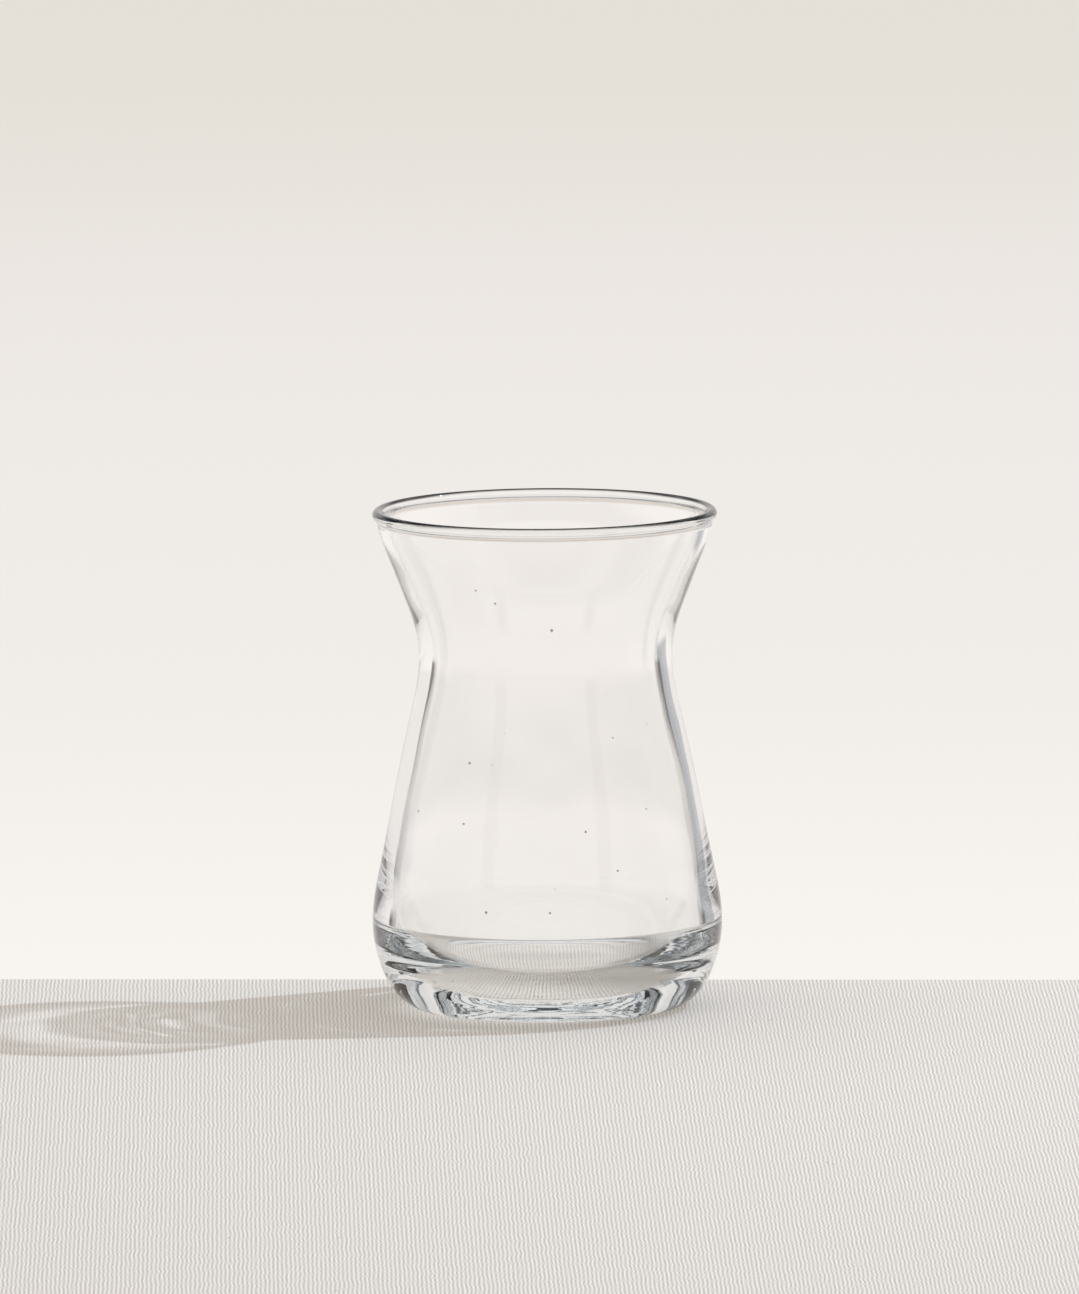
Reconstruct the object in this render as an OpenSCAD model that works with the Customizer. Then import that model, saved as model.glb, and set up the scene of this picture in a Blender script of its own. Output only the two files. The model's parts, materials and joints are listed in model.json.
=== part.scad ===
// Waisted tea glass: one turned piece of clear glass with a rolled rim, a round belly and a thick base.
// The axis is Z, the glass stands on z = 0, and all sizes are in millimetres.

/* [Overall] */
// Height from the table to the top of the rim
height = 87.6; // [80:0.1:100]

/* [Rim] */
// Outside diameter over the rolled rim
rim_d = 60.2; // [52:0.1:72]
// Thickness of the roll of glass along the rim
roll_d = 1.9; // [1.4:0.1:2.4]
// Depth of the groove under the roll, measured in from the roll's outside
groove_depth = 0.75; // [0.3:0.05:1]
// Drop from the top of the rim to the groove
groove_drop = 2.4; // [2:0.1:4]

/* [Outside] */
// Outside diameter at the waist
waist_d = 44.3; // [36:0.1:50]
// Height of the waist above the table
waist_h = 61.1; // [50:0.1:68]
// Outside diameter at the belly
belly_d = 61.2; // [54:0.1:70]
// Height of the belly's widest line
belly_h = 14.9; // [12:0.1:20]
// Outside diameter of the ring that the glass stands on
foot_d = 42.8; // [34:0.1:47]
// How flat the heel's round starts at the foot: 2 is an ellipse, and more is flatter
heel_foot_power = 2.1; // [1.6:0.02:2.8]
// How upright the heel's round ends at the belly: 2 is an ellipse, and less slants more
heel_belly_power = 1.8; // [1.4:0.02:2.6]

/* [Wall] */
// Thickness of the wall in the groove under the rim
groove_wall = 1.7; // [1.3:0.05:2.4]
// Thickness of the wall in the middle of the flare
flare_wall = 2.15; // [1.6:0.05:3]
// Thickness of the wall at the waist
waist_wall = 2.55; // [1.8:0.05:3.4]
// Thickness of the wall halfway down the shoulder
shoulder_wall = 2.3; // [1.6:0.05:3.2]
// Thickness of the wall low on the shoulder, above the belly
side_wall = 2.5; // [1.8:0.05:3.4]
// Thickness of the wall where the round inside bottom runs out into it
bowl_wall = 3.2; // [2.2:0.05:4]

/* [Base] */
// Height of the inside's lowest point above the table
floor_h = 4.3; // [3.4:0.1:7]
// Height at which the round inside bottom has run out into the wall
bowl_h = 15.6; // [13:0.1:20]
// How flat the inside bottom is around its centre: 2 is an ellipse, and more is flatter
bowl_floor_power = 4.5; // [2:0.1:6]
// How upright the inside bottom runs out into the wall: 2 is an ellipse, and less slants more
bowl_wall_power = 1.34; // [1.1:0.02:2.2]
// Width of the flat ring that touches the table
ring_w = 4.5; // [1:0.1:7]
// Rise of the hollow under the base
punt_h = 0.35; // [0.15:0.05:2]
// How broad the hollow is at its top: 1 is a cone, 2 is a dish, and more is flatter
punt_power = 1.8; // [1.2:0.1:3]

/* [Smoothness] */
// Steps along each stretch of the outline between two stations
curve_steps = 3; // [2:1:10]
// Steps along each round of the base, inside and out
corner_steps = 14; // [6:1:28]
// Steps along each half of the roll
roll_steps = 6; // [4:1:16]
// Facets around the axis
turn_facets = 180; // [60:12:240]

/* [Hidden] */

// Shoulder stations: shares of the rise from belly to waist, and of the draw-in on the way
shoulder_rise_shares = [0.116, 0.192, 0.307, 0.46, 0.613, 0.766, 0.843, 0.92];
shoulder_draw_shares = [0.055, 0.135, 0.266, 0.426, 0.595, 0.778, 0.874, 0.961];
// Flare stations: shares of the rise from waist to groove, and of the spread on the way
flare_rise_shares = [0.145, 0.294, 0.442, 0.589, 0.736, 0.882];
flare_spread_shares = [0.033, 0.138, 0.313, 0.503, 0.697, 0.882];
// Shares of the rise from the bowl's top to the waist at which the two walls of the shoulder are measured
side_wall_share = 0.2;
shoulder_wall_share = 0.55;
// Share of the rise from waist to groove at which the flare's wall is measured
flare_wall_share = 0.45;
// Angle below the roll's centre at which its round meets the groove outside
roll_start = -60;
// Angle at which the roll's round meets the wall inside
roll_end = 190;

rim_r = rim_d / 2;
roll_r = roll_d / 2;
waist_r = waist_d / 2;
belly_r = belly_d / 2;
foot_r = foot_d / 2;
groove_r = rim_r - groove_depth;
groove_h = height - groove_drop;

function mix(a, b, share) = a + (b - a) * share;

// Slope of the straight line from station i to the next one
function chord_slope(stations, i) =
    (stations[i + 1].x - stations[i].x) / (stations[i + 1].y - stations[i].y);

// Slope of the curve at station i: upright where the outline turns back, and otherwise between its chords
function curve_slope(stations, i, first, last) =
    i == 0 ? first :
    i == len(stations) - 1 ? last :
    let(below = chord_slope(stations, i - 1), above = chord_slope(stations, i))
    below * above <= 0 ? 0 : 2 * below * above / (below + above);

// Point at the given share of the way from station i to the next, on a smooth curve through all stations
function curve_point(stations, i, share, first, last) =
    let(
        rise = stations[i + 1].y - stations[i].y,
        lower = curve_slope(stations, i, first, last) * rise,
        upper = curve_slope(stations, i + 1, first, last) * rise,
        back = 1 - share
    )
    [
        stations[i].x * back * back * (1 + 2 * share) + lower * share * back * back
            + stations[i + 1].x * share * share * (3 - 2 * share) - upper * share * share * back,
        stations[i].y + rise * share
    ];

// Points of the smooth curve through stations of radius and height, from the lowest to the highest
function curve(stations, first, last) = [
    for (i = [0 : len(stations) - 2])
        for (step = [0 : curve_steps - 1])
            curve_point(stations, i, step / curve_steps, first, last),
    stations[len(stations) - 1]
];

// Points of a quarter round that leaves the level at `low` and ends upright at `high`
function corner(low, high, low_power, high_power) = [
    for (step = [0 : corner_steps])
        let(
            angle = 90 * step / corner_steps,
            side = pow(sin(angle), 2 / low_power),
            lift = 1 - pow(cos(angle), 2 / high_power)
        )
        [mix(low.x, high.x, side), mix(low.y, high.y, lift)]
];

// Outside of the wall, from the belly up to the groove
outer_stations = [
    [belly_r, belly_h],
    for (i = [0 : len(shoulder_rise_shares) - 1])
        [
            mix(belly_r, waist_r, shoulder_draw_shares[i]),
            mix(belly_h, waist_h, shoulder_rise_shares[i])
        ],
    [waist_r, waist_h],
    for (i = [0 : len(flare_rise_shares) - 1])
        [
            mix(waist_r, groove_r, flare_spread_shares[i]),
            mix(waist_h, groove_h, flare_rise_shares[i])
        ],
    [groove_r, groove_h]
];
groove_slope = chord_slope(outer_stations, len(outer_stations) - 2);
outer_wall = curve(outer_stations, 0, groove_slope);

// Round of the heel, from the foot ring up to the belly
heel = corner([foot_r, 0], [belly_r, belly_h], heel_foot_power, heel_belly_power);

// Wall thickness at any height, on a smooth curve through the six named walls
wall_stations = [
    [bowl_wall, bowl_h],
    [side_wall, mix(bowl_h, waist_h, side_wall_share)],
    [shoulder_wall, mix(bowl_h, waist_h, shoulder_wall_share)],
    [waist_wall, waist_h],
    [flare_wall, mix(waist_h, groove_h, flare_wall_share)],
    [groove_wall, groove_h]
];
wall_curve = curve(wall_stations, 0, 0);
function thickness(h) = lookup(h, [for (point = wall_curve) [point.y, point.x]]);

// Inside of the wall, from the top of the round bottom up to the groove
outer_radii = [for (point = concat(heel, outer_wall)) [point.y, point.x]];
function inner_radius(h) = lookup(h, outer_radii) - thickness(h);
least_rise = 0.3;
inner_wall = [
    [inner_radius(bowl_h), bowl_h],
    for (point = outer_wall)
        if (point.y > bowl_h + least_rise)
            [point.x - thickness(point.y), point.y]
];

// Round inside bottom, from its lowest point on the axis up to the wall
bowl = corner([0, floor_h], inner_wall[0], bowl_floor_power, bowl_wall_power);

// Points of a round from one angle to another, at both ends too
function arc(centre, radius, from, to) = [
    for (step = [0 : roll_steps])
        let(angle = mix(from, to, step / roll_steps))
        centre + radius * [cos(angle), sin(angle)]
];

// Roll along the rim, from the groove over the top to the inside
roll_centre = [rim_r - roll_r, height - roll_r];
roll = concat(
    arc(roll_centre, roll_r, roll_start, 90),
    arc(roll_centre, roll_r, 90, roll_end)
);

// Hollow under the base, from the axis out to the ring
punt_r = foot_r - ring_w;
punt = [
    for (step = [0 : corner_steps])
        let(share = step / corner_steps)
        [punt_r * share, punt_h * (1 - pow(share, punt_power))]
];

function reversed(points) = [for (i = [len(points) - 1 : -1 : 0]) points[i]];

module glass() {
    color([0.86, 0.9, 0.92, 0.35])
    rotate_extrude($fn = turn_facets)
    polygon(concat(punt, heel, outer_wall, roll, reversed(inner_wall), reversed(bowl)));
}

glass();
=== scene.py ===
"""Looks of a waisted tea glass, in metres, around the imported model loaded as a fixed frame."""
import json
import logging
import math
from dataclasses import dataclass, field
from enum import Enum

import bpy
import numpy as np
from mathutils import Matrix, Vector

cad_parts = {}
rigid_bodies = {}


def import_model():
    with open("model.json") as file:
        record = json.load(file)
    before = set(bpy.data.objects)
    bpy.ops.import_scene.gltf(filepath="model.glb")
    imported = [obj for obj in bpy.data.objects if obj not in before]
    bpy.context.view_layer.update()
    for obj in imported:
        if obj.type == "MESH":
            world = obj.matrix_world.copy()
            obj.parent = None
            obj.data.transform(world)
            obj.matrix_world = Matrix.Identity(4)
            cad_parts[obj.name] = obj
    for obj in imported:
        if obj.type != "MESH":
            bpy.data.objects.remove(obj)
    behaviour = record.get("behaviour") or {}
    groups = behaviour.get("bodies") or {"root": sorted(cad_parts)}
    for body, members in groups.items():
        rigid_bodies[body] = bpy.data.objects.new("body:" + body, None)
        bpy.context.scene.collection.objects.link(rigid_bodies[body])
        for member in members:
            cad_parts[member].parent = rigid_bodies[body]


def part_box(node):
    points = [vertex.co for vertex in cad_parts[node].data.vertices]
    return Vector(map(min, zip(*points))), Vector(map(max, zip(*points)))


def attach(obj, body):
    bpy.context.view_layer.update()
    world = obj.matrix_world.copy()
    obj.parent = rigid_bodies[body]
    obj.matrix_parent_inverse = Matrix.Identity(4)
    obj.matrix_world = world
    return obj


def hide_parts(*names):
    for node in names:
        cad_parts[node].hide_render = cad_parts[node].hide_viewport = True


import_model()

logging.basicConfig(level=logging.INFO, format="%(levelname)s %(message)s")
log = logging.getLogger("tea_glass")

MM = 0.001
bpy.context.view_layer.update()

# The photograph's frame, and where the glass stands in it
PHOTO_W = 1079
PHOTO_H = 1294
PIXEL = 0.175 * MM
BASE_PIXEL_X = 548.0
BASE_PIXEL_Y = 1005.1

# Enough bounces for thick glass. Cycles counts each reflection inside the glass as a glossy one.
MAX_BOUNCES = 40
TRANSMISSION_BOUNCES = 24
GLOSSY_BOUNCES = 28

Colour = tuple[float, float, float]
Span = tuple[float, float]
Station = tuple[float, float]
Stops = tuple[tuple[float, Colour], ...]
Socket = bpy.types.NodeSocket
Value = float | Socket
Inputs = dict[str | int, object]
Setting = str | int | bool | bpy.types.NodeTree

BLACK: Colour = (0.0, 0.0, 0.0)


class Graph:
    """Adds nodes to a node tree and links them as it goes."""

    def __init__(self, tree: bpy.types.NodeTree) -> None:
        """Takes the tree that the nodes go into."""
        self.tree = tree

    def node(self, kind: str, given: Inputs | None = None, **settings: Setting) -> bpy.types.Node:
        """Adds one node.

        Args:
            kind: The node's type name.
            given: A value, or a socket to link from, for each input by its name or number.
            settings: The node's own properties, which are set before its inputs.

        Returns:
            The new node.
        """
        made = self.tree.nodes.new(kind)
        for name, value in settings.items():
            setattr(made, name, value)
        for key, value in (given or {}).items():
            if isinstance(value, Socket):
                self.tree.links.new(value, made.inputs[key])
            else:
                made.inputs[key].default_value = value
        return made

    def math(
        self, operation: str, first: Value, second: Value = 0.0, clamp: bool = False,
    ) -> Socket:
        """Adds a Math node.

        Args:
            operation: The node's operation.
            first: The first value.
            second: The second value, where the operation has one.
            clamp: Whether the result stays between 0 and 1.

        Returns:
            The result.
        """
        given = {0: first, 1: second}
        return self.node("ShaderNodeMath", given, operation=operation, use_clamp=clamp).outputs[0]

    def times(self, first: Value, *others: Value) -> Socket:
        """Multiplies two or more values.

        Args:
            first: The first value.
            others: The values that it is multiplied by, in order.

        Returns:
            The product.
        """
        product = first
        for other in others:
            product = self.math("MULTIPLY", product, other)
        return product

    def span(
        self, value: Value, low: Value, high: Value, start: Value = 0.0, end: Value = 1.0,
    ) -> Socket:
        """Adds a smooth Map Range node.

        Args:
            value: The value to map.
            low: The value that becomes start.
            high: The value that becomes end.
            start: The result at low and below.
            end: The result at high and above.

        Returns:
            The result.
        """
        given = {"Value": value, "From Min": low, "From Max": high, "To Min": start, "To Max": end}
        return self.node("ShaderNodeMapRange", given, interpolation_type="SMOOTHSTEP").outputs[0]

    def blend(self, share: Value, first: Socket | Colour, second: Socket | Colour) -> Socket:
        """Adds a Mix Color node.

        Args:
            share: 0 for the first colour and 1 for the second.
            first: The first colour.
            second: The second colour.

        Returns:
            The mixed colour.
        """
        # The node's colour sockets come after those of its other data types
        first_input, second_input, output = 6, 7, 2
        given: Inputs = {"Factor": share}
        for number, colour in ((first_input, first), (second_input, second)):
            given[number] = colour if isinstance(colour, Socket) else (*colour, 1.0)
        return self.node("ShaderNodeMix", given, data_type="RGBA").outputs[output]

    def scaled(self, vector: Socket, factor: Value) -> Socket:
        """Vector times a factor."""
        given = {0: vector, "Scale": factor}
        return self.node("ShaderNodeVectorMath", given, operation="SCALE").outputs[0]

    def sum(self, first: Socket, second: Socket) -> Socket:
        """Sum of two vectors."""
        return self.node("ShaderNodeVectorMath", {0: first, 1: second}, operation="ADD").outputs[0]

    def noise(self, place: Socket, scale: Value = 1.0, detail: float = 2.0) -> Socket:
        """Noise around 0.5.

        Args:
            place: Where it is read.
            scale: Features for one unit of the place.
            detail: Number of finer layers.

        Returns:
            The value.
        """
        given = {"Vector": place, "Scale": scale, "Detail": detail}
        return self.node("ShaderNodeTexNoise", given).outputs[0]


def empty_tree(owner: bpy.types.Material | bpy.types.World) -> Graph:
    """Clears a material's or the world's own tree.

    Args:
        owner: The material or the world.

    Returns:
        The graph of its tree.
    """
    owner.use_nodes = True
    owner.node_tree.nodes.clear()
    return Graph(owner.node_tree)


def speck_group() -> bpy.types.NodeTree:
    """Shader node group of sparse specks, such as dust on glass or slubs in cloth.

    Returns:
        The group, whose inputs are the coordinates, the specks' spacing, their radius and their
        share of the cells, and whose output is a mask that is 1 on a speck.
    """
    bends_per_spacing, least_size, solid_share = 9.0, 0.35, 0.6
    tree = bpy.data.node_groups.new("sparse_specks", "ShaderNodeTree")
    face = tree.interface
    face.new_socket(name="Place", in_out="INPUT", socket_type="NodeSocketVector")
    for name in ("Spacing", "Radius", "Share"):
        face.new_socket(name=name, in_out="INPUT", socket_type="NodeSocketFloat")
    face.new_socket(name="Mask", in_out="OUTPUT", socket_type="NodeSocketFloat")
    graph = Graph(tree)
    given = graph.node("NodeGroupInput").outputs
    scale = graph.math("DIVIDE", 1.0, given["Spacing"])
    bend = {"Vector": given["Place"], "Scale": graph.times(scale, bends_per_spacing)}
    shift = graph.scaled(graph.node("ShaderNodeTexNoise", bend).outputs["Color"], given["Radius"])
    moved = graph.sum(given["Place"], shift)
    cells = graph.node("ShaderNodeTexVoronoi", {"Vector": moved, "Scale": scale})
    away = graph.times(cells.outputs["Distance"], given["Spacing"])
    kinds = graph.node("ShaderNodeSeparateColor", {0: cells.outputs["Color"]})
    radius = graph.times(given["Radius"], graph.math("ADD", kinds.outputs[1], least_size))
    near = graph.span(away, graph.times(radius, solid_share), radius, 1.0, 0.0)
    kept = graph.math("LESS_THAN", kinds.outputs[0], given["Share"])
    graph.node("NodeGroupOutput", {"Mask": graph.times(near, kept)})
    return tree


class Face(Enum):
    """Side of the glass that a stretch of the outline belongs to."""

    UNDERSIDE = "underside"
    OUTSIDE = "outside"
    RIM = "rim"
    INSIDE = "inside"


@dataclass(frozen=True)
class OutlinePoint:
    """One point of the half section: its distance from the axis, its height and its side."""

    radius: float
    height: float
    face: Face


def mix(start: float, end: float, share: float) -> float:
    """Value at the given share of the way from start to end."""
    return start + (end - start) * share


def slopes(radius: np.ndarray, height: np.ndarray, first: float, last: float) -> np.ndarray:
    """Slopes of a clamped cubic spline of radius over height.

    Args:
        radius: Radius at each station.
        height: Height of each station, from the lowest to the highest.
        first: Slope at the lowest station.
        last: Slope at the highest station.

    Returns:
        The slope at each station.
    """
    count = len(radius)
    rise = np.diff(height)
    system = np.zeros((count, count))
    wanted = np.zeros(count)
    system[0, 0] = system[-1, -1] = 1.0
    wanted[0], wanted[-1] = first, last
    for i in range(1, count - 1):
        system[i, i - 1] = 1.0 / rise[i - 1]
        system[i, i] = 2.0 * (1.0 / rise[i - 1] + 1.0 / rise[i])
        system[i, i + 1] = 1.0 / rise[i]
        below = (radius[i] - radius[i - 1]) / rise[i - 1] ** 2
        above = (radius[i + 1] - radius[i]) / rise[i] ** 2
        wanted[i] = 3.0 * (below + above)
    return np.linalg.solve(system, wanted)


def smooth_curve(stations: list[Station], first: float, last: float, steps: int) -> list[Station]:
    """Clamped cubic spline of radius over height.

    Args:
        stations: Radius and height of each point on the curve, from the lowest to the highest.
        first: Slope of radius over height at the lowest station.
        last: Slope of radius over height at the highest station.
        steps: Number of steps between two stations.

    Returns:
        Points of radius and height along the curve, both ends included.
    """
    radius = np.array([r for r, _ in stations])
    height = np.array([h for _, h in stations])
    slope = slopes(radius, height, first, last)
    rise = np.diff(height)
    points = []
    for i in range(len(stations) - 1):
        for step in range(steps):
            share = step / steps
            back = 1.0 - share
            lower = slope[i] * rise[i] * share * back * back
            upper = slope[i + 1] * rise[i] * share * share * back
            start = radius[i] * back * back * (1.0 + 2.0 * share)
            end = radius[i + 1] * share * share * (3.0 - 2.0 * share)
            points.append((float(start + end + lower - upper), float(height[i] + rise[i] * share)))
    points.append(stations[-1])
    return points


def quarter_round(low: Station, high: Station, powers: Span, steps: int) -> list[Station]:
    """Quarter round that leaves the level at its low end and ends upright at its high end.

    Args:
        low: Radius and height of the low end.
        high: Radius and height of the high end.
        powers: How flat it starts at the low end, and how upright it ends at the high end.
            2 is an ellipse.
        steps: Number of steps.

    Returns:
        Points of radius and height from the low end up, without the high end, which the wall has.
    """
    points = []
    for step in range(steps):
        angle = math.pi / 2 * step / steps
        side = math.sin(angle) ** (2.0 / powers[0])
        lift = 1.0 - math.cos(angle) ** (2.0 / powers[1])
        points.append((mix(low[0], high[0], side), mix(low[1], high[1], lift)))
    return points


@dataclass
class GlassOutline:
    """Half section of the glass.

    The height and the belly come from the frame, and the other sizes are the part's. Rise shares
    are shares of a stretch's height, and draw and spread shares those of its change of radius.
    """

    height: float
    belly_radius: float
    rim_radius: float = 30.1 * MM
    roll_radius: float = 0.95 * MM
    groove_depth: float = 0.75 * MM
    groove_drop: float = 2.4 * MM
    waist_radius: float = 22.15 * MM
    waist_height: float = 61.1 * MM
    belly_height: float = 14.9 * MM
    foot_radius: float = 21.4 * MM
    heel_foot_power: float = 2.1
    heel_belly_power: float = 1.8
    ring_width: float = 4.5 * MM
    punt_height: float = 0.35 * MM
    punt_power: float = 1.8
    floor_height: float = 4.3 * MM
    bowl_height: float = 15.6 * MM
    bowl_floor_power: float = 4.5
    bowl_wall_power: float = 1.34
    groove_wall: float = 1.7 * MM
    flare_wall: float = 2.15 * MM
    flare_wall_rise: float = 0.45
    waist_wall: float = 2.55 * MM
    shoulder_wall: float = 2.3 * MM
    shoulder_wall_rise: float = 0.55
    side_wall: float = 2.5 * MM
    side_wall_rise: float = 0.2
    bowl_wall: float = 3.2 * MM
    shoulder_rise_shares: tuple[float, ...] = (
        0.116, 0.192, 0.307, 0.46, 0.613, 0.766, 0.843, 0.92,
    )
    shoulder_draw_shares: tuple[float, ...] = (
        0.055, 0.135, 0.266, 0.426, 0.595, 0.778, 0.874, 0.961,
    )
    flare_rise_shares: tuple[float, ...] = (0.145, 0.294, 0.442, 0.589, 0.736, 0.882)
    flare_spread_shares: tuple[float, ...] = (0.033, 0.138, 0.313, 0.503, 0.697, 0.882)
    curve_steps: int = 12
    wall_steps: int = 60
    least_step: float = 0.1 * MM
    corner_steps: int = 32
    roll_steps: int = 30
    punt_steps: int = 20
    roll_start: float = -60.0
    roll_end: float = 190.0

    @property
    def groove_radius(self) -> float:
        """Outside radius in the groove under the rolled rim."""
        return self.rim_radius - self.groove_depth

    @property
    def groove_height(self) -> float:
        """Height of the groove under the rolled rim."""
        return self.height - self.groove_drop

    def outer_wall(self) -> list[Station]:
        """Outside of the wall.

        Returns:
            Points of radius and height from the belly up to the groove.
        """
        belly = (self.belly_radius, self.belly_height)
        waist = (self.waist_radius, self.waist_height)
        groove = (self.groove_radius, self.groove_height)
        stations = [belly]
        for rise, draw in zip(self.shoulder_rise_shares, self.shoulder_draw_shares):
            stations.append((mix(belly[0], waist[0], draw), mix(belly[1], waist[1], rise)))
        stations.append(waist)
        for rise, spread in zip(self.flare_rise_shares, self.flare_spread_shares):
            stations.append((mix(waist[0], groove[0], spread), mix(waist[1], groove[1], rise)))
        stations.append(groove)
        (low_r, low_h), (high_r, high_h) = stations[-2:]
        return smooth_curve(stations, 0.0, (high_r - low_r) / (high_h - low_h), self.curve_steps)

    def wall_thickness(self) -> list[Station]:
        """Thickness of the wall.

        Returns:
            Points of thickness and height from the top of the bowl up to the groove.
        """
        bowl, waist, groove = self.bowl_height, self.waist_height, self.groove_height
        stations = [
            (self.bowl_wall, bowl),
            (self.side_wall, mix(bowl, waist, self.side_wall_rise)),
            (self.shoulder_wall, mix(bowl, waist, self.shoulder_wall_rise)),
            (self.waist_wall, waist),
            (self.flare_wall, mix(waist, groove, self.flare_wall_rise)),
            (self.groove_wall, groove),
        ]
        return smooth_curve(stations, 0.0, 0.0, self.wall_steps)

    def inner_wall(self) -> list[Station]:
        """Inside of the wall.

        Returns:
            Points of radius and height from the top of the bowl up to the groove.
        """
        outer_radii, outer_heights = zip(*self.outer_wall())
        walls, wall_heights = zip(*self.wall_thickness())
        lowest = self.bowl_height + self.least_step
        points = []
        for height in [self.bowl_height] + [h for h in outer_heights if h > lowest]:
            wall = np.interp(height, wall_heights, walls)
            points.append((float(np.interp(height, outer_heights, outer_radii) - wall), height))
        return points

    def heel(self) -> list[Station]:
        """Heel of the glass.

        Returns:
            Points of a quarter round from the foot ring up to the belly.
        """
        foot, belly = (self.foot_radius, 0.0), (self.belly_radius, self.belly_height)
        powers = (self.heel_foot_power, self.heel_belly_power)
        return quarter_round(foot, belly, powers, self.corner_steps)

    def bowl(self, top_radius: float) -> list[Station]:
        """Round inside bottom.

        Args:
            top_radius: Radius at which it joins the wall.

        Returns:
            Points of a quarter round from the axis up to the wall.
        """
        floor, top = (0.0, self.floor_height), (top_radius, self.bowl_height)
        powers = (self.bowl_floor_power, self.bowl_wall_power)
        return quarter_round(floor, top, powers, self.corner_steps)

    def roll(self) -> list[Station]:
        """Roll of glass along the rim.

        Returns:
            Points of radius and height from the groove over the top to the inside.
        """
        centre_r = self.rim_radius - self.roll_radius
        centre_h = self.height - self.roll_radius
        points = []
        for step in range(self.roll_steps + 1):
            angle = math.radians(mix(self.roll_start, self.roll_end, step / self.roll_steps))
            radius = centre_r + self.roll_radius * math.cos(angle)
            points.append((radius, centre_h + self.roll_radius * math.sin(angle)))
        return points

    def punt(self) -> list[Station]:
        """Hollow under the base.

        Returns:
            Points of radius and height from the axis out to the ring.
        """
        inside = self.foot_radius - self.ring_width
        shares = [step / self.punt_steps for step in range(self.punt_steps + 1)]
        return [(inside * s, self.punt_height * (1.0 - s ** self.punt_power)) for s in shares]

    def points(self) -> list[OutlinePoint]:
        """The whole half section.

        Returns:
            Its points, from the axis underneath to the axis inside.
        """
        inner = self.inner_wall()
        stretches = [
            (self.punt(), Face.UNDERSIDE),
            (self.heel(), Face.OUTSIDE),
            (self.outer_wall(), Face.OUTSIDE),
            (self.roll(), Face.RIM),
            (inner[::-1], Face.INSIDE),
            (self.bowl(inner[0][0])[::-1], Face.INSIDE),
        ]
        return [OutlinePoint(r, h, face) for stretch, face in stretches for r, h in stretch]


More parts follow.
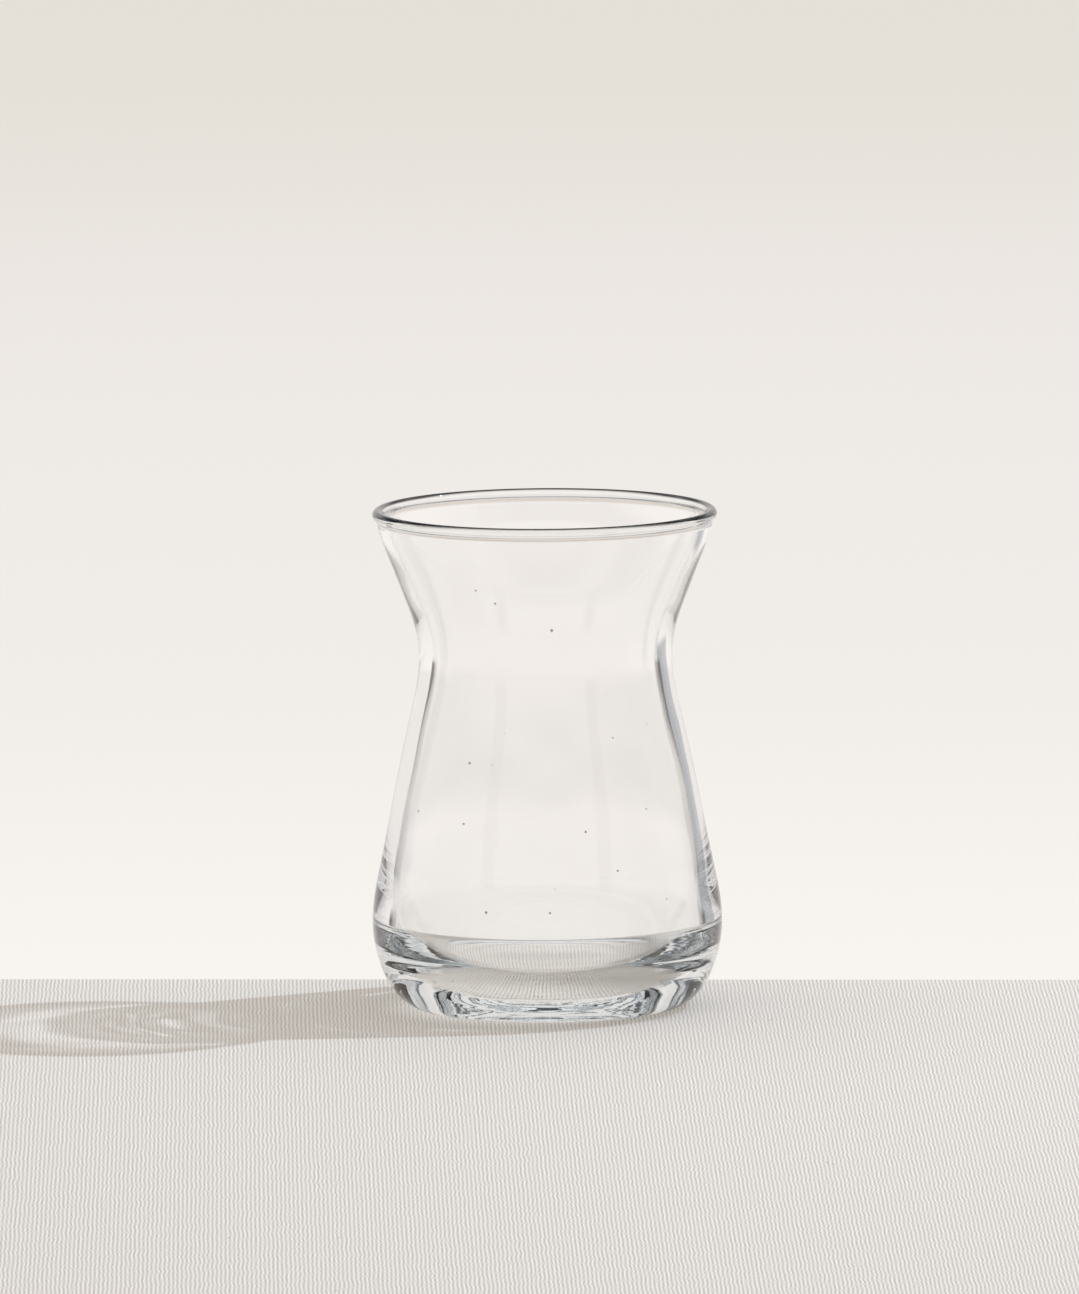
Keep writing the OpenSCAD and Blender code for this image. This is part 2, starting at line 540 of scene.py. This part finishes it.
@dataclass(frozen=True)
class ClearGlassFinish:
    """Clear soda-lime glass with dust and smears, and painted shade along its contours, on the
    edges of its thick lower wall, along the top of its rim and in its groove.

    Starts and ends of the painted contour shade, the painted shade at the thick edge and the
    painted line along the rim are shares of how far a surface faces away. Rises and fades are
    heights as shares of the belly's height, and drops are distances under the top of the rim or
    under the groove as shares of the roll's radius.
    """

    ior: float = 1.52
    clear: Colour = (0.976, 0.975, 0.971)
    tint: Colour = (0.45, 0.62, 0.68)
    tint_density: float = 2.2
    painted_contour_shade: Colour = (0.07, 0.055, 0.045)
    contour_start: float = 0.76
    contour_power: float = 2.0
    painted_thick_edge_shade: Colour = (0.70, 0.72, 0.755)
    thick_edge_start: float = 0.52
    thick_edge_end: float = 0.74
    thick_edge_rise: Span = (0.8, 1.1)
    thick_edge_fade: Span = (1.6, 2.6)
    painted_rim_line: Colour = (0.008, 0.008, 0.009)
    rim_line_start: float = 0.12
    rim_line_end: float = 0.45
    rim_line_drops: Span = (0.7, 0.3)
    painted_groove_shade: Colour = (0.80, 0.745, 0.69)
    groove_reach: float = 0.5 * MM
    groove_drop: float = 2.0
    dust: Colour = (0.10, 0.09, 0.08)
    dust_spacing: float = 5.6 * MM
    dust_radius: float = 0.26 * MM
    dust_share: float = 0.8
    dust_roughness: float = 0.3
    dust_drop: float = 1.5
    smear_size: float = 22.0 * MM
    smear_detail: float = 5.0
    smear_noise: Span = (0.5, 0.72)
    smear_roughness: float = 0.018
    wave_size: float = 9.0 * MM
    wave_height: float = 0.006 * MM
    ring_size: float = 1.4 * MM
    ring_length: float = 14.0 * MM
    ring_height: float = 0.014 * MM
    ring_detail: float = 1.5
    ring_fade: Span = (0.6, 1.05)

    def rings(self, graph: Graph, parts: bpy.types.Node, belly: float) -> Socket:
        """Height of the fine rings that pressing leaves around the thick base.

        Args:
            graph: The material's tree.
            parts: Node that separates the coordinates.
            belly: Height of the belly, about where the base ends.

        Returns:
            A height in metres.
        """
        across, deep, height = parts.outputs
        flat = graph.node("ShaderNodeCombineXYZ", {"X": across, "Y": deep}).outputs[0]
        length = graph.node("ShaderNodeVectorMath", {0: flat}, operation="LENGTH")
        out_and_up = graph.math("ADD", length.outputs["Value"], height)
        along = graph.math("DIVIDE", out_and_up, self.ring_size)
        around = graph.scaled(flat, 1.0 / self.ring_length)
        up = graph.node("ShaderNodeCombineXYZ", {"Z": along}).outputs[0]
        ring = graph.noise(graph.sum(around, up), detail=self.ring_detail)
        fade = (belly * share for share in self.ring_fade)
        in_base = graph.span(height, *fade, 1.0, 0.0)
        return graph.times(ring, in_base, self.ring_height)

    def relief(self, graph: Graph, place: Socket, parts: bpy.types.Node, belly: float) -> Socket:
        """Normal of the slight waves and rings.

        Args:
            graph: The material's tree.
            place: Coordinates in metres.
            parts: Node that separates the coordinates.
            belly: Height of the belly.

        Returns:
            The normal.
        """
        noise = graph.noise(place, 1.0 / self.wave_size, detail=1.0)
        waves = graph.times(noise, self.wave_height)
        uneven = graph.math("ADD", waves, self.rings(graph, parts, belly))
        given = {"Strength": 1.0, "Distance": 1.0, "Height": uneven}
        return graph.node("ShaderNodeBump", given).outputs[0]

    def colour_with_painted_shade(
        self, graph: Graph, height: Socket, grazing: Socket, outline: GlassOutline,
    ) -> Socket:
        """Colour of the glass without its dust, with its painted shade.

        Args:
            graph: The material's tree.
            height: Height above the table in metres.
            grazing: How far the surface faces away, from 0 to 1.
            outline: The glass's half section, for where its groove, roll and belly are.

        Returns:
            The colour.
        """
        roll, belly = outline.roll_radius, outline.belly_height
        # Painted shade: a darker warm band in the groove under the rim.
        groove = outline.height - self.groove_drop * roll
        off_groove = graph.math("ABSOLUTE", graph.math("SUBTRACT", height, groove))
        in_groove = graph.span(off_groove, 0.0, self.groove_reach, 1.0, 0.0)
        shaded = graph.blend(in_groove, self.clear, self.painted_groove_shade)
        # Painted shade: a dark line where the surface faces away, along the glass's outlines.
        painted_contour_shade = graph.span(grazing, self.contour_start, 1.0)
        painted_contour_shade = graph.math("POWER", painted_contour_shade, self.contour_power)
        # Painted shade: a cool grey on the edges of the thick lower wall, where they face away.
        rise = (belly * share for share in self.thick_edge_rise)
        fade = (belly * share for share in self.thick_edge_fade)
        above_base = graph.span(height, *rise)
        below_waist = graph.span(height, *fade, 1.0, 0.0)
        edge = graph.span(grazing, self.thick_edge_start, self.thick_edge_end)
        thick = graph.blend(graph.times(above_base, below_waist, edge), shaded, self.painted_thick_edge_shade)
        outlined = graph.blend(painted_contour_shade, thick, self.painted_contour_shade)
        # Painted shade: a near-black line along the top of the rim where it faces away.
        top = (outline.height - drop * roll for drop in self.rim_line_drops)
        on_top = graph.span(height, *top)
        line = graph.span(grazing, self.rim_line_start, self.rim_line_end)
        return graph.blend(graph.times(on_top, line), outlined, self.painted_rim_line)

    def dust_mask(
        self, graph: Graph, place: Socket, height: Socket, specks: bpy.types.NodeTree,
        outline: GlassOutline,
    ) -> Socket:
        """Mask of the dust specks, which end well below the rim.

        Args:
            graph: The material's tree.
            place: Coordinates in metres.
            height: Height above the table in metres.
            specks: The shader node group that places them.
            outline: The glass's half section, for where the rim is.

        Returns:
            A value that is 1 on a speck.
        """
        top = outline.height - (self.groove_drop + self.dust_drop) * outline.roll_radius
        given = {
            "Place": place,
            "Spacing": self.dust_spacing,
            "Radius": self.dust_radius,
            "Share": self.dust_share,
        }
        dust = graph.node("ShaderNodeGroup", given, node_tree=specks)
        return graph.times(dust.outputs["Mask"], graph.math("LESS_THAN", height, top))

    def material(self, specks: bpy.types.NodeTree, outline: GlassOutline) -> bpy.types.Material:
        """Builds the material.

        Args:
            specks: The shader node group that places the dust.
            outline: The glass's half section, for where its groove, roll and belly are.

        Returns:
            A material of clear refracting glass with a plain absorbing inside.
        """
        mat = bpy.data.materials.new("clear_glass")
        graph = empty_tree(mat)
        place = graph.node("ShaderNodeTexCoord").outputs["Object"]
        grazing = graph.node("ShaderNodeLayerWeight", {"Blend": 0.5}).outputs["Facing"]
        parts = graph.node("ShaderNodeSeparateXYZ", {0: place})
        height = parts.outputs["Z"]
        clear_with_painted_shade = self.colour_with_painted_shade(graph, height, grazing, outline)
        speck = self.dust_mask(graph, place, height, specks, outline)
        smear = graph.noise(place, 1.0 / self.smear_size, self.smear_detail)
        smear = graph.span(smear, *self.smear_noise, 0.0, self.smear_roughness)
        # The base colour and the specular tint both carry the painted shade.
        glass = graph.node("ShaderNodeBsdfPrincipled", {
            "Base Color": graph.blend(speck, clear_with_painted_shade, self.dust),
            "Specular Tint": clear_with_painted_shade,
            "Roughness": graph.math("MAXIMUM", smear, graph.times(speck, self.dust_roughness)),
            "IOR": self.ior,
            "Transmission Weight": 1.0,
            "Normal": self.relief(graph, place, parts, outline.belly_height),
        }).outputs[0]
        absorbing = {"Color": (*self.tint, 1.0), "Density": self.tint_density}
        inside = graph.node("ShaderNodeVolumeAbsorption", absorbing).outputs[0]
        graph.node("ShaderNodeOutputMaterial", {"Surface": glass, "Volume": inside})
        return mat


@dataclass
class TeaGlass:
    """The one piece of glass, turned around the axis from its half section."""

    outline: GlassOutline
    specks: bpy.types.NodeTree
    finish: ClearGlassFinish = field(default_factory=ClearGlassFinish)
    turns: int = 180
    wave_height: float = 0.10 * MM
    wave_size: float = 16.0 * MM
    merge_distance: float = 0.001 * MM

    def half_section(self) -> bpy.types.Object:
        """Builds the mesh that the glass is turned from.

        Returns:
            An object of the outline's points, with each one's share of the wall's waves as the
            attribute "wave".
        """
        points = self.outline.points()
        mesh = bpy.data.meshes.new("half_section")
        mesh.from_pydata([(p.radius, 0.0, p.height) for p in points], [], [])
        wave = mesh.attributes.new("wave", "FLOAT", "POINT")
        rise = self.outline.groove_height - self.outline.bowl_height
        for i, point in enumerate(points):
            share = (point.height - self.outline.bowl_height) / rise
            inside = point.face is Face.INSIDE and 0.0 < share < 1.0
            wave.data[i].value = math.sqrt(math.sin(math.pi * share)) if inside else 0.0
        obj = bpy.data.objects.new("glass_body", mesh)
        bpy.context.scene.collection.objects.link(obj)
        return obj

    def lathe_tree(self) -> bpy.types.NodeTree:
        """Builds the node tree that turns a half section.

        Returns:
            A tree that makes a closed body of revolution with slight waves in its wall.
        """
        tree = bpy.data.node_groups.new("turn_the_outline", "GeometryNodeTree")
        sockets = {
            "Outline": "Geometry", "Turns": "Int", "Wave height": "Float", "Wave size": "Float",
            "Finish": "Material",
        }
        for name, kind in sockets.items():
            tree.interface.new_socket(name=name, in_out="INPUT", socket_type=f"NodeSocket{kind}")
        tree.interface.new_socket(name="Body", in_out="OUTPUT", socket_type="NodeSocketGeometry")
        graph = Graph(tree)
        given = graph.node("NodeGroupInput").outputs
        section = given["Outline"]

        # One column of the grid for each turn, and one row for each point of the section. Half is
        # added to the index so that rounding down is safe.
        size = graph.node("GeometryNodeAttributeDomainSize", {"Geometry": section})
        rows = size.outputs["Point Count"]
        columns = graph.math("ADD", given["Turns"], 1.0)
        grid = graph.node("GeometryNodeMeshGrid", {"Vertices X": columns, "Vertices Y": rows})
        index = graph.math("ADD", graph.node("GeometryNodeInputIndex").outputs[0], 0.5)
        column = graph.math("FLOOR", graph.math("DIVIDE", index, rows))
        row = graph.math("FLOOR", graph.math("SUBTRACT", index, graph.times(column, rows)))
        angle = graph.times(graph.math("DIVIDE", column, given["Turns"]), math.tau)

        def sampled(value: Socket, kind: str) -> Socket:
            """Value of the section at the grid's row."""
            inputs = {"Geometry": section, "Value": value, "Index": row}
            return graph.node("GeometryNodeSampleIndex", inputs, data_type=kind).outputs[0]

        place = sampled(graph.node("GeometryNodeInputPosition").outputs[0], "FLOAT_VECTOR")
        named = graph.node("GeometryNodeInputNamedAttribute", {"Name": "wave"}, data_type="FLOAT")
        share = sampled(named.outputs["Attribute"], "FLOAT")
        parts = graph.node("ShaderNodeSeparateXYZ", {0: place}).outputs
        cosine, sine = graph.math("COSINE", angle), graph.math("SINE", angle)

        def turned(radius: Socket) -> Socket:
            """Place at that radius, turned by the column's angle."""
            x, y = graph.times(radius, cosine), graph.times(radius, sine)
            return graph.node("ShaderNodeCombineXYZ", {"X": x, "Y": y, "Z": parts["Z"]}).outputs[0]

        scale = graph.math("DIVIDE", 1.0, given["Wave size"])
        noise = graph.noise(turned(parts["X"]), scale, detail=1.0)
        wave = graph.times(graph.math("SUBTRACT", noise, 0.5), given["Wave height"])
        put = turned(graph.math("ADD", parts["X"], graph.times(wave, 2.0, share)))
        moved = {"Geometry": grid.outputs["Mesh"], "Position": put}
        body = graph.node("GeometryNodeSetPosition", moved).outputs[0]
        merged = {"Geometry": body, "Distance": self.merge_distance}
        body = graph.node("GeometryNodeMergeByDistance", merged).outputs[0]
        body = graph.node("GeometryNodeSetShadeSmooth", {"Geometry": body}).outputs[0]
        body = graph.node("GeometryNodeRealizeInstances", {"Geometry": body}).outputs[0]
        dressed = {"Geometry": body, "Material": given["Finish"]}
        body = graph.node("GeometryNodeSetMaterial", dressed).outputs[0]
        graph.node("NodeGroupOutput", {"Body": body})
        return tree

    def build(self) -> bpy.types.Object:
        """Turns the outline, makes the result a plain mesh and dresses it.

        Returns:
            The finished piece, which stands for the node `glass`.
        """
        obj = self.half_section()
        modifier = obj.modifiers.new("turn", "NODES")
        modifier.node_group = self.lathe_tree()
        values = {
            "Turns": self.turns,
            "Wave height": self.wave_height,
            "Wave size": self.wave_size,
            "Finish": self.finish.material(self.specks, self.outline),
        }
        for item in modifier.node_group.interface.items_tree:
            if item.in_out == "INPUT" and item.name in values:
                modifier[item.identifier] = values[item.name]
        return plain_mesh(obj)


def plain_mesh(obj: bpy.types.Object) -> bpy.types.Object:
    """Applies an object's modifiers by turning their result into its mesh.

    Args:
        obj: The object, with its modifiers set.

    Returns:
        The same object, with a plain mesh and no modifier.
    """
    bpy.context.view_layer.update()
    evaluated = obj.evaluated_get(bpy.context.evaluated_depsgraph_get())
    mesh = bpy.data.meshes.new_from_object(evaluated)
    mesh.name = obj.name
    obj.modifiers.clear()
    obj.data = mesh
    return obj


@dataclass(frozen=True)
class PaleClothFinish:
    """Plain pale cloth with fine ribs that run away from the camera, and a few slubs.

    Darkest and palest are factors on the colour. Under the glass there is a patch of painted
    light, which stands in for the light that the glass gathers there: the cloth is paler there
    and glows a little though it is no lamp.
    """

    colour: Colour = (0.745, 0.728, 0.713)
    darkest: float = 0.7
    palest: float = 1.3
    roughness: float = 0.95
    specular: float = 0.1
    rib: float = 0.7 * MM
    rib_slant: float = 0.015
    rib_share: float = 0.75
    rib_depth: float = 0.75
    thread: float = 0.62 * MM
    thread_share: float = 0.25
    drift: float = 0.7 * MM
    drift_size: float = 6.0 * MM
    drift_detail: float = 3.0
    patch_size: float = 1.8 * MM
    patch_noise: Span = (0.3, 0.7)
    patch_least: float = 0.15
    slub: Colour = (0.30, 0.26, 0.23)
    slub_spacing: float = 9.0 * MM
    slub_radius: float = 0.28 * MM
    slub_share: float = 0.55
    pool_place: tuple[float, float, float] = (-4.0 * MM, -1.0 * MM, 0.0)
    pool_core: float = 14.0 * MM
    pool_reach: float = 27.0 * MM
    pool_lift: float = 0.2
    pool_glow: float = 1.7

    def weave(self, graph: Graph, place: Socket) -> Socket:
        """Shade of the ribs and threads, uneven from patch to patch.

        Args:
            graph: The material's tree.
            place: Coordinates in metres.

        Returns:
            A value around 0.
        """
        parts = graph.node("ShaderNodeSeparateXYZ", {0: place}).outputs
        drift = graph.noise(place, 1.0 / self.drift_size, self.drift_detail)
        drift = graph.times(drift, self.drift)
        slant = graph.times(parts["Y"], self.rib_slant)
        across = graph.math("ADD", graph.math("ADD", parts["X"], drift), slant)
        along = graph.math("ADD", parts["Y"], drift)
        ribs = graph.math("SINE", graph.times(across, math.tau / self.rib))
        threads = graph.math("SINE", graph.times(along, math.tau / self.thread))
        patches = graph.noise(place, 1.0 / self.patch_size)
        uneven = graph.span(patches, *self.patch_noise, self.patch_least, 1.0)
        ribs, threads = graph.times(ribs, self.rib_share), graph.times(threads, self.thread_share)
        return graph.times(graph.math("ADD", ribs, threads), uneven, self.rib_depth)

    def material(self, specks: bpy.types.NodeTree) -> bpy.types.Material:
        """Builds the material.

        Args:
            specks: The shader node group that places the slubs.

        Returns:
            A matte material.
        """
        mat = bpy.data.materials.new("pale_cloth")
        graph = empty_tree(mat)
        place = graph.node("ShaderNodeTexCoord").outputs["Object"]
        # Painted light: a paler patch of cloth under the glass.
        ends = {0: place, 1: self.pool_place}
        off_pool = graph.node("ShaderNodeVectorMath", ends, operation="DISTANCE").outputs["Value"]
        painted_light_pool = graph.span(off_pool, self.pool_core, self.pool_reach, self.pool_lift, 0.0)
        shade = graph.math("ADD", self.weave(graph, place), 0.5)
        lifted = graph.math("ADD", shade, painted_light_pool, clamp=True)
        dark = tuple(self.darkest * part for part in self.colour)
        light = tuple(self.palest * part for part in self.colour)
        slubs = graph.node("ShaderNodeGroup", {
            "Place": place,
            "Spacing": self.slub_spacing,
            "Radius": self.slub_radius,
            "Share": self.slub_share,
        }, node_tree=specks)
        colour = graph.blend(slubs.outputs["Mask"], graph.blend(lifted, dark, light), self.slub)
        surface = graph.node("ShaderNodeBsdfPrincipled", {
            "Base Color": colour,
            "Roughness": self.roughness,
            "Specular IOR Level": self.specular,
            # Painted glow of the patch of painted light, though the cloth is no lamp.
            "Emission Color": graph.blend(graph.times(painted_light_pool, self.pool_glow), BLACK, colour),
            "Emission Strength": 1.0,
        })
        graph.node("ShaderNodeOutputMaterial", {"Surface": surface.outputs[0]})
        return mat


@dataclass
class Table:
    """Plain pale table top that the glass stands on, near its back edge."""

    specks: bpy.types.NodeTree
    finish: PaleClothFinish = field(default_factory=PaleClothFinish)
    back_edge: float = 31 * MM
    front_edge: float = -1.6
    half_width: float = 1.6
    sink: float = 0.02 * MM
    turn: float = math.radians(-3.0)

    def build(self) -> bpy.types.Object:
        """Builds the table top and lets it receive the glass's shadow caustics.

        Returns:
            The table top.
        """
        slant = math.tan(self.turn) * self.half_width
        corners = [
            (-self.half_width, self.front_edge, -self.sink),
            (self.half_width, self.front_edge, -self.sink),
            (self.half_width, self.back_edge + slant, -self.sink),
            (-self.half_width, self.back_edge - slant, -self.sink),
        ]
        mesh = bpy.data.meshes.new("table_top")
        mesh.from_pydata(corners, [], [(0, 1, 2, 3)])
        mesh.materials.append(self.finish.material(self.specks))
        obj = bpy.data.objects.new("table_top", mesh)
        bpy.context.scene.collection.objects.link(obj)
        obj.cycles.is_caustics_receiver = True
        return obj


@dataclass(frozen=True)
class Flag:
    """Card that stands around the set and is seen only through the glass.

    The turn is its azimuth and the half turn half its width, both in degrees, and core is the
    share of its half width that is fully covered. Low and high are the sines of the elevations
    between which it stands, and the edges are how far it fades in and out there.
    """

    turn: float
    half_turn: float = 6.0
    colour: Colour = (0.10, 0.085, 0.07)
    core: float = 0.7
    low: float = -0.25
    high: float = 0.55
    low_edge: float = 0.07
    high_edge: float = 0.2

    def mask(self, graph: Graph, turn: Socket, rise: Socket) -> Socket:
        """Mask of the flag.

        Args:
            graph: The world's tree.
            turn: The direction's azimuth in radians.
            rise: The sine of the direction's elevation.

        Returns:
            A value that is 1 where the flag stands.
        """
        off = graph.math("SUBTRACT", turn, math.radians(self.turn))
        off = graph.node("ShaderNodeMath", {0: off, 1: math.pi, 2: -math.pi}, operation="WRAP")
        off = graph.math("ABSOLUTE", off.outputs[0])
        half = math.radians(self.half_turn)
        beside = graph.span(off, half * self.core, half, 1.0, 0.0)
        over = graph.span(rise, self.low, self.low + self.low_edge)
        under = graph.span(rise, self.high - self.high_edge, self.high, 1.0, 0.0)
        return graph.times(beside, graph.times(over, under))


@dataclass
class Studio:
    """Pale backdrop all around, even fill on what isn't glass, and one key light."""

    fill: float = 0.76
    fill_colour: Colour = (1.0, 0.95, 0.885)
    key_power: float = 10.9
    key_colour: Colour = (0.86, 0.92, 1.0)
    key_size: float = 0.028
    key_distance: float = 1.6
    key_from: tuple[float, float, float] = (0.63, 0.19, 0.74)
    # Sine of a direction's elevation, and the colour that the camera sees there
    seen: Stops = (
        (-0.150, (0.950, 0.925, 0.885)),
        (-0.1438, (0.939, 0.913, 0.871)),
        (-0.1314, (0.880, 0.855, 0.815)),
        (-0.1116, (0.847, 0.807, 0.776)),
        (-0.1016, (0.785, 0.752, 0.690)),
        (-0.060, (0.745, 0.715, 0.660)),
        (1.0, (0.60, 0.58, 0.55)),
    )
    # The same for what the glass bends and reflects
    bent: Stops = (
        (-1.0, (0.10, 0.10, 0.10)),
        (-0.84, (0.14, 0.135, 0.13)),
        (-0.70, (0.60, 0.58, 0.56)),
        (-0.50, (0.90, 0.87, 0.83)),
        (-0.135, (0.970, 0.925, 0.895)),
        (-0.095, (0.865, 0.827, 0.80)),
        (0.05, (0.860, 0.83, 0.80)),
        (0.30, (0.80, 0.79, 0.78)),
        (0.39, (0.10, 0.115, 0.13)),
        (0.51, (0.08, 0.09, 0.10)),
        (0.56, (0.85, 0.85, 0.85)),
        (0.62, (0.06, 0.07, 0.08)),
        (0.72, (0.08, 0.09, 0.10)),
        (0.82, (0.90, 0.90, 0.90)),
        (1.0, (0.94, 0.93, 0.92)),
    )
    # The paler side toward the key light: its colour, its share, and the parts of a direction
    # along X and Z between which it comes in
    lit_side: Colour = (0.84, 0.83, 0.81)
    lit_share: float = 0.65
    lit_across: Span = (0.25, 0.8)
    lit_rise: Span = (0.1, 0.3)
    flags: tuple[Flag, ...] = (
        Flag(56.0, 12.0, (0.40, 0.415, 0.44), 0.8, -0.36, 0.35),
        Flag(45.0), Flag(135.0), Flag(225.0), Flag(315.0),
    )

    def graded(self, graph: Graph, stops: Stops, rise: Socket) -> Socket:
        """Colour graded by the direction's elevation.

        Args:
            graph: The world's tree.
            stops: Sine of the elevation, and the colour there, from the lowest to the highest.
            rise: The sine of the direction's elevation.

        Returns:
            The colour.
        """
        low, high = stops[0][0], stops[-1][0]
        place = graph.node("ShaderNodeMapRange", {"Value": rise, "From Min": low, "From Max": high})
        ramp = graph.node("ShaderNodeValToRGB", {"Fac": place.outputs["Result"]})
        elements = ramp.color_ramp.elements
        elements.remove(elements[-1])
        elements[0].position = 0.0
        elements[0].color = (*stops[0][1], 1.0)
        for z, colour in stops[1:]:
            element = elements.new((z - low) / (high - low))
            element.color = (*colour, 1.0)
        return ramp.outputs["Color"]

    def around_the_glass(self, graph: Graph, transmitted: Socket) -> Socket:
        """Colour of the surroundings that the glass bends and reflects.

        Args:
            graph: The world's tree.
            transmitted: 1 for light that left the glass by refraction, which alone sees the flags.

        Returns:
            The colour.
        """
        toward = graph.node("ShaderNodeTexCoord").outputs["Generated"]
        parts = graph.node("ShaderNodeSeparateXYZ", {0: toward}).outputs
        turn = graph.math("ARCTAN2", parts["Y"], parts["X"])
        across = graph.span(parts["X"], *self.lit_across, 0.0, self.lit_share)
        lit = graph.times(across, graph.span(parts["Z"], *self.lit_rise))
        colour = graph.blend(lit, self.graded(graph, self.bent, parts["Z"]), self.lit_side)
        for flag in self.flags:
            mask = graph.times(flag.mask(graph, turn, parts["Z"]), transmitted)
            colour = graph.blend(mask, colour, flag.colour)
        return colour

    def backdrop(self) -> None:
        """World that lights evenly, and shows the pale backdrop to the camera and in the glass."""
        world = bpy.data.worlds.new("studio")
        bpy.context.scene.world = world
        graph = empty_tree(world)
        toward = graph.node("ShaderNodeTexCoord").outputs["Generated"]
        rise = graph.node("ShaderNodeSeparateXYZ", {0: toward}).outputs["Z"]
        path = graph.node("ShaderNodeLightPath").outputs

        def shown(colour: Socket | tuple[float, ...], strength: float = 1.0) -> Socket:
            """Background shader of that colour and strength."""
            given = {"Color": colour, "Strength": strength}
            return graph.node("ShaderNodeBackground", given).outputs[0]

        even = shown((*self.fill_colour, 1.0), self.fill)
        in_glass = shown(self.around_the_glass(graph, path["Is Transmission Ray"]))
        seen = shown(self.graded(graph, self.seen, rise))
        glassy = graph.math("MAXIMUM", path["Is Glossy Ray"], path["Is Transmission Ray"])
        # Light that the cloth scatters meets the even fill, through the glass too
        unlit = graph.math("LESS_THAN", path["Diffuse Depth"], 0.5)
        bent = {0: graph.times(glassy, unlit), 1: even, 2: in_glass}
        bent = graph.node("ShaderNodeMixShader", bent).outputs[0]
        mixed = {0: path["Is Camera Ray"], 1: bent, 2: seen}
        mixed = graph.node("ShaderNodeMixShader", mixed).outputs[0]
        graph.node("ShaderNodeOutputWorld", {"Surface": mixed})

    def key_light(self) -> None:
        """Small area light, high on the right and a little behind the glass."""
        light = bpy.data.lights.new("key", "AREA")
        light.shape = "DISK"
        light.size = self.key_size
        light.energy = self.key_power
        light.color = self.key_colour
        light.cycles.is_caustics_light = True
        obj = bpy.data.objects.new("key", light)
        toward = Vector(self.key_from).normalized()
        obj.location = toward * self.key_distance
        obj.rotation_euler = toward.to_track_quat("Z", "Y").to_euler()
        bpy.context.scene.collection.objects.link(obj)


@dataclass
class PhotoCamera:
    """Long-lens camera at the photograph's viewing angle."""

    distance: float = 3.5
    elevation: float = math.radians(7.4)
    roll: float = math.radians(0.4)
    sensor: float = 36.0
    clip_end: float = 50.0

    def build(self) -> None:
        """Places the camera so that the glass stands at its pixels in the photograph's frame."""
        data = bpy.data.cameras.new("camera")
        data.sensor_width = self.sensor
        data.lens = self.sensor * self.distance / (PHOTO_H * PIXEL)
        data.clip_end = self.clip_end
        obj = bpy.data.objects.new("camera", data)
        up = Vector((0.0, math.sin(self.elevation), math.cos(self.elevation)))
        back = Vector((0.0, -math.cos(self.elevation), math.sin(self.elevation)))
        right = Vector((1.0, 0.0, 0.0))
        up, right = (
            up * math.cos(self.roll) + right * math.sin(self.roll),
            right * math.cos(self.roll) - up * math.sin(self.roll),
        )
        across = (PHOTO_W / 2 - BASE_PIXEL_X) * PIXEL
        above = (BASE_PIXEL_Y - PHOTO_H / 2) * PIXEL
        aim = right * across + up * above
        turn = Matrix((right, up, back)).transposed().to_4x4()
        obj.matrix_world = Matrix.Translation(aim + back * self.distance) @ turn
        bpy.context.scene.collection.objects.link(obj)
        bpy.context.scene.camera = obj


def set_up_view() -> None:
    """Plain colour handling, and the number of bounces."""
    scene = bpy.context.scene
    scene.view_settings.view_transform = "Standard"
    scene.cycles.max_bounces = MAX_BOUNCES
    scene.cycles.transmission_bounces = TRANSMISSION_BOUNCES
    scene.cycles.glossy_bounces = GLOSSY_BOUNCES


def main() -> None:
    """Builds the stage and the glass, in order, and reports each piece."""
    set_up_view()
    PhotoCamera().build()
    studio = Studio()
    studio.backdrop()
    studio.key_light()
    specks = speck_group()
    Table(specks).build()
    low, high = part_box("glass")
    outline = GlassOutline(height=high.z - low.z, belly_radius=min(high.x, -low.x))
    glass = TeaGlass(outline, specks).build()
    glass.cycles.is_caustics_caster = True
    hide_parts("glass")
    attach(glass, "root")
    log.info("glass_body: %d faces", len(glass.data.polygons))


if __name__ == "__main__":
    main()
